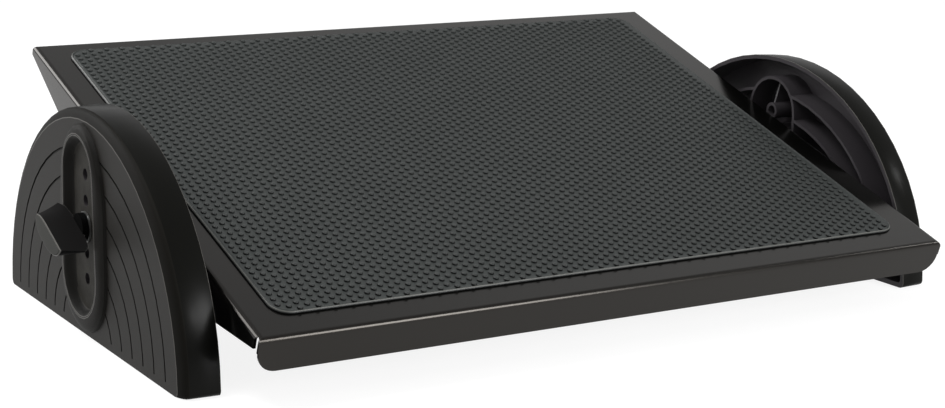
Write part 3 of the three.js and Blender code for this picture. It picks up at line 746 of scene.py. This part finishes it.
def loft_ring(share):
    chord = WING_HALF_CHORD - WING_TAPER * share
    depth = WING_FOOT_DEPTH + (WING_DEPTH - WING_FOOT_DEPTH) * share
    ring = []
    for c, m in half_moon(chord, depth):
        to_tip = c / WING_HALF_CHORD
        foot = WING_FOOT + FOOT_BOW * to_tip ** 2 + FOOT_CORNER * to_tip ** 12
        end = WING_END - m * WING_SLANT - END_ROUND
        ring.append((*tip_eased(c, m, chord, share), foot + (end - foot) * share))
    return ring


def end_ring(turn):
    inset = END_ROUND * (1 - math.cos(turn))
    chord = WING_HALF_CHORD - WING_TAPER
    eased = [tip_eased(c, m, chord, 1) for c, m in half_moon(chord - inset, WING_DEPTH - inset)]
    return [(c, m, WING_END - m * WING_SLANT - END_ROUND * (1 - math.sin(turn))) for c, m in eased]


def dome_ring(outline, scale):
    ring = []
    for c, m, _ in outline:
        depth = END_MIDDLE + (m - END_MIDDLE) * scale
        ring.append((c * scale, depth, WING_END - depth * WING_SLANT + END_DOME * (1 - scale ** 2)))
    return ring


def wing_rings():
    rings = [loft_ring(share) for share in LOFT_SHARES]
    rings += [end_ring(math.pi / 2 * k / END_ROUND_STEPS) for k in range(END_ROUND_STEPS + 1)]
    outline = rings[-1]
    return rings + [dome_ring(outline, scale) for scale in DOME_SCALES]


print(len(wing_rings()), "rings of", len(wing_rings()[0]), "points")

# %% [markdown]
# ## The skin of the knob
#
# The rings are joined to one skin, and a short cylinder makes the hub. The flat is black nylon,
# the end is grained and painted lighter, and the first strips of its round carry a painted
# highlight. The arc lies in the shade of the wing and gets the painted shade of the hub.

# %% Skin of the wing and the hub
WING_FLAT = 1.2
HUB_RADIUS = 8.2
HUB_HEIGHT = 3.4
HUB_DRAFT = 0.2
HUB_STEPS = 28
END_FROM_RING = len(LOFT_SHARES) + 1
HIGHLIGHT_RINGS = 2


# The end is grained and painted lighter, its first rounded strips get the painted highlight, and the arc gets the
# painted shade of the hub.
def wing_finish(ring, place_in_ring):
    if ring >= END_FROM_RING:
        return NYLON_EDGE_HIGHLIGHT if ring < END_FROM_RING + HIGHLIGHT_RINGS else NYLON_GRAIN_LIT
    return NYLON if place_in_ring >= ARC_STEPS else NYLON_HUB_SHADE


def skin_wing(work, corner):
    rings = [[corner(*p) for p in ring] for ring in wing_rings()]
    work.faces.new(rings[0])
    for k, (low, high) in enumerate(zip(rings, rings[1:])):
        for i in range(len(low)):
            j = (i + 1) % len(low)
            work.faces.new((low[i], low[j], high[j], high[i])).material_index = wing_finish(k, i)
    work.faces.new(rings[-1]).material_index = NYLON_GRAIN_LIT


# The hub gets the painted shade.
def skin_hub(work, corner):
    turns = [2 * math.pi * i / HUB_STEPS for i in range(HUB_STEPS)]
    low, high = [
        [corner(radius * math.cos(t), radius * math.sin(t) - WING_FLAT, s) for t in turns]
        for s, radius in ((0, HUB_RADIUS), (HUB_HEIGHT, HUB_RADIUS - HUB_DRAFT))
    ]
    for ring in (low, high):
        work.faces.new(ring).material_index = NYLON_HUB_SHADE
    for i in range(HUB_STEPS):
        j = (i + 1) % HUB_STEPS
        work.faces.new((low[i], low[j], high[j], high[i])).material_index = NYLON_HUB_SHADE


print("the end of the wing starts at ring", END_FROM_RING)

# %% [markdown]
# ## The wing knobs
#
# Both knobs are the same moulding, set here at the same slant. The skin could be drawn once and
# mirrored, but a mirrored mesh is inside out. So it is drawn for each side: along the chord, up
# across it, and outwards along the screw. Edges that stay sharp get a narrow round with a painted
# highlight.

# %% Wing knobs
KNOB_TURN = math.radians(23.8)
KNOB_FOOT = 251.0
KNOB_SHARP = math.radians(38)
KNOB_ROUND = 0.3


def build_knob(side):
    out = -1 if side == "left" else 1
    foot = Vector((out * KNOB_FOOT, pivot.y / MM, pivot.z / MM))
    along = Vector((0, math.cos(KNOB_TURN), math.sin(KNOB_TURN)))
    up = Vector((0, -math.sin(KNOB_TURN), math.cos(KNOB_TURN)))
    work = bmesh.new()

    def corner(c, m, s):
        place = foot + along * c + up * (m + WING_FLAT) + Vector((out * s, 0, 0))
        return work.verts.new(place * MM)

    skin_wing(work, corner)
    skin_hub(work, corner)
    bmesh.ops.recalc_face_normals(work, faces=work.faces)
    sharp = [
        e for e in work.edges
        if e.calc_face_angle() > KNOB_SHARP
        and all(f.material_index != NYLON_HUB_SHADE for f in e.link_faces)
    ]
    # Every round of the knob gets the painted highlight.
    for face in rounded(work, sharp, KNOB_ROUND, True):
        face.material_index = NYLON_EDGE_HIGHLIGHT
    knob = smooth_piece(work, f"{side}_wing_knob", KNOB_FINISHES)
    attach(knob, body_of[f"{side}_knob"])
    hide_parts(f"{side}_knob")
    cad_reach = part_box(f"{side}_knob")[0 if out < 0 else 1][0]
    reach = out * max(abs(v.co.x) for v in knob.data.vertices)
    print(knob.name, "reaches", round(reach / MM, 1), "mm, in the CAD", round(cad_reach / MM, 1))


for side in ("left", "right"):
    build_knob(side)

# %% [markdown]
# ## Where the mat lies
#
# The mat is drawn level, with its own length and width, and laid on the deck by one matrix: the
# tilt axis and the tilt angle are both in the record. On the real one it is glued by hand, and
# it lies 2 mm to the left.

# %% Bed of the mat
sole = next(m for m in record["mounts"] if m["name"] == "foot_surface")
TILT = math.atan2(-sole["axis"][1], sole["axis"][2])
mat_bed = Matrix.Translation(pivot) @ Matrix.Rotation(TILT, 4, "X")
field_height = (mat_bed.inverted() @ Vector(sole["pos_m"])).z / MM
print("tilt", round(math.degrees(TILT), 2), "degrees, field", round(field_height, 2), "mm above the axis")

# %% [markdown]
# ## The profile of the rim
#
# The slab has round corners, and a small ridge runs all round it with a groove inside. A box
# with a bevel can't have that profile, so the slab is lofted from rings: each has an inset from
# the edge and a height over the field.

# %% Rings of the slab
MAT_HALF_WIDTH = 206.6
MAT_SHIFT = -2.1
MAT_FRONT = -150.8
MAT_BACK = 155.7
MAT_CORNER = 11
MAT_UNDER = -1.5
CORNER_STEPS = 10
RIM_PROFILE = [
    (0.25, MAT_UNDER), (0, -1.4), (0.1, -0.9), (0.3, -0.45), (0.55, -0.1), (0.8, 0.05),
    (1.1, 0.0), (1.3, -0.3), (1.6, -0.4), (1.9, -0.2), (2.1, 0),
]


def mat_ring(inset, height):
    half, front, back = MAT_HALF_WIDTH - inset, MAT_FRONT + inset, MAT_BACK - inset
    radius = MAT_CORNER - inset
    far, near, right = back - radius, front + radius, half - radius
    points = []
    for quarter, (x, y) in enumerate([(right, far), (-right, far), (-right, near), (right, near)]):
        for i in range(CORNER_STEPS + 1):
            turn = math.pi / 2 * (quarter + i / CORNER_STEPS)
            across, along = x + radius * math.cos(turn), y + radius * math.sin(turn)
            points.append((MAT_SHIFT + across, along, field_height + height))
    return points


print("the mat is", 2 * MAT_HALF_WIDTH, "by", MAT_BACK - MAT_FRONT, "mm")

# %% [markdown]
# ## The slab
#
# The rings are joined by strips and closed by one face on top, the field, and one below. Two
# strips of the ridge get a painted highlight and the two lowest a painted shade. A separate strip
# of mesh could carry each finish, but one mesh with three finishes has no gaps.

# %% Slab with its rim
# How dark the painted shade is at the four outer rings of the rim.
RIM_FLANK_SHADES = [1.0, 1.0, 1.0, 0.2]
RIM_LIGHT = (3, 4)
RIM_SHADED = (0, 1)
MAT_FINISHES = [mat_rubber, rim_highlight_rubber, shaded_flank_rubber]
FIELD, RIM_HIGHLIGHT, SHADED_FLANK = range(len(MAT_FINISHES))


# The ridge of the rim gets the painted highlight and its two lowest strips the painted shade.
def rim_finish(strip):
    return RIM_HIGHLIGHT if strip in RIM_LIGHT else SHADED_FLANK if strip in RIM_SHADED else FIELD


def slab():
    rings = [mat_ring(inset, height) for inset, height in RIM_PROFILE]
    size = len(rings[0])
    points = [point for ring in rings for point in ring]
    faces, finishes = [], []
    for k in range(len(rings) - 1):
        low, high = k * size, (k + 1) * size
        for i in range(size):
            j = (i + 1) % size
            faces.append((low + i, low + j, high + j, high + i))
            finishes.append(rim_finish(k))
    faces += [tuple(range(len(points) - size, len(points))), tuple(reversed(range(size)))]
    finishes += [FIELD] * 2
    flank_shades = [dark for dark in RIM_FLANK_SHADES for _ in range(size)]
    return points, faces, finishes, flank_shades + [0.0] * (len(points) - len(flank_shades))


print("the slab has", len(slab()[1]), "faces")

# %% [markdown]
# ## Where the nubs stand
#
# Several thousand nubs stand in staggered rows, like bricks: every second column is half a pitch
# further back. A grid with an array modifier would run over the round corners, so each place is
# worked out and kept only if it lies well inside the field.

# %% Places of the nubs
COLUMN_PITCH = 5.083
ROW_PITCH = 5.279
COLUMN_START = 4.346
ROW_START = -140.4
FIRST_ROW = -2
NUB_MARGIN = 2.3


def inside_field(x, y, margin):
    half, front, back = MAT_HALF_WIDTH - margin, MAT_FRONT + margin, MAT_BACK - margin
    over_x = max(abs(x) - (half - MAT_CORNER), 0)
    over_y = max(y - (back - MAT_CORNER), front + MAT_CORNER - y, 0)
    if over_x and over_y:
        return math.hypot(over_x, over_y) <= MAT_CORNER
    return abs(x) <= half and front <= y <= back


def nub_places():
    columns = int(2 * MAT_HALF_WIDTH / COLUMN_PITCH)
    rows = int((MAT_BACK - MAT_FRONT) / ROW_PITCH) + 2
    for i in range(-columns, columns + 1):
        for j in range(FIRST_ROW, rows):
            x = COLUMN_START + i * COLUMN_PITCH
            y = ROW_START + (j + (i % 2) / 2) * ROW_PITCH
            if inside_field(x - MAT_SHIFT, y, NUB_MARGIN):
                yield x, y


print(sum(1 for _ in nub_places()), "nubs fit")

# %% [markdown]
# ## One nub
#
# A nub is a low drum with a rounded top. A bump map would be lighter, but it can't cast the small
# shadow that shows each nub under low lamps. So it is mesh, with only three rings and a middle
# point. Its flank gets a painted shade, black at the front of the mat and paler towards the back.

# %% Mesh of one nub
NUB_RADIUS = 1.6
NUB_RISE = 1.2
NUB_STEPS = 8
BACK_SHADE_FADE = 0.65
# share of the radius, share of the rise, and how dark the painted shade on the flank is
NUB_RINGS = [(1.0, -0.05, 1.0), (0.95, 0.55, 1.0), (0.72, 0.88, 0.0)]


def nub_points(x, y):
    points = []
    for k, (share, rise, _) in enumerate(NUB_RINGS):
        for i in range(NUB_STEPS):
            turn = 2 * math.pi * (i + k / 2) / NUB_STEPS
            across = x + NUB_RADIUS * share * math.cos(turn)
            along = y + NUB_RADIUS * share * math.sin(turn)
            points.append((across, along, field_height + NUB_RISE * rise))
    return points + [(x, y, field_height + NUB_RISE)]


def nub_faces(start):
    faces = []
    for k in range(len(NUB_RINGS) - 1):
        low, high = start + k * NUB_STEPS, start + (k + 1) * NUB_STEPS
        for i in range(NUB_STEPS):
            j = (i + 1) % NUB_STEPS
            faces += [(low + i, low + j, high + i), (low + j, high + j, high + i)]
    top = start + len(NUB_RINGS) * NUB_STEPS
    rim = top - NUB_STEPS
    return faces + [(rim + i, rim + (i + 1) % NUB_STEPS, top) for i in range(NUB_STEPS)]


# Painted shade on the flank of each nub: darkest at the front of the mat, paler towards the back.
def nub_flank_shades(y):
    black = 1 - BACK_SHADE_FADE * (y - MAT_FRONT) / (MAT_BACK - MAT_FRONT)
    return [dark * black for _, _, dark in NUB_RINGS for _ in range(NUB_STEPS)] + [0.0]


print("a nub has", len(nub_faces(0)), "faces")

# %% [markdown]
# ## The dimpled mat
#
# Slab and nubs become one mesh, because thousands of separate objects would be slow to handle.
# The lowest strip of each nub gets the dull rubber with the painted shade, and the
# "flank_shade" values go in as an attribute of the points, so the painted shade fades out up
# the nub.

# %% Dimpled rubber mat
MAT_SHARP = math.radians(35)
FLANK_FACES = 2 * NUB_STEPS


def build_mat():
    points, faces, finishes, flank_shades = slab()
    for x, y in nub_places():
        new_faces = nub_faces(len(points))
        faces += new_faces
        finishes += [SHADED_FLANK] * FLANK_FACES + [FIELD] * (len(new_faces) - FLANK_FACES)
        points += nub_points(x, y)
        flank_shades += nub_flank_shades(y)
    mesh = bpy.data.meshes.new("dimpled_rubber_mat")
    mesh.from_pydata([mat_bed @ (Vector(p) * MM) for p in points], [], faces)
    mesh.attributes.new("flank_shade", "FLOAT", "POINT").data.foreach_set("value", flank_shades)
    mesh.polygons.foreach_set("material_index", finishes)
    mesh.shade_smooth()
    mesh.set_sharp_from_angle(angle=MAT_SHARP)
    for finish in MAT_FINISHES:
        mesh.materials.append(finish)
    mat = place_in_scene(bpy.data.objects.new("dimpled_rubber_mat", mesh))
    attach(mat, "deck")
    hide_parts("foot_mat")
    print("the mat has", len(mesh.polygons), "faces")


build_mat()
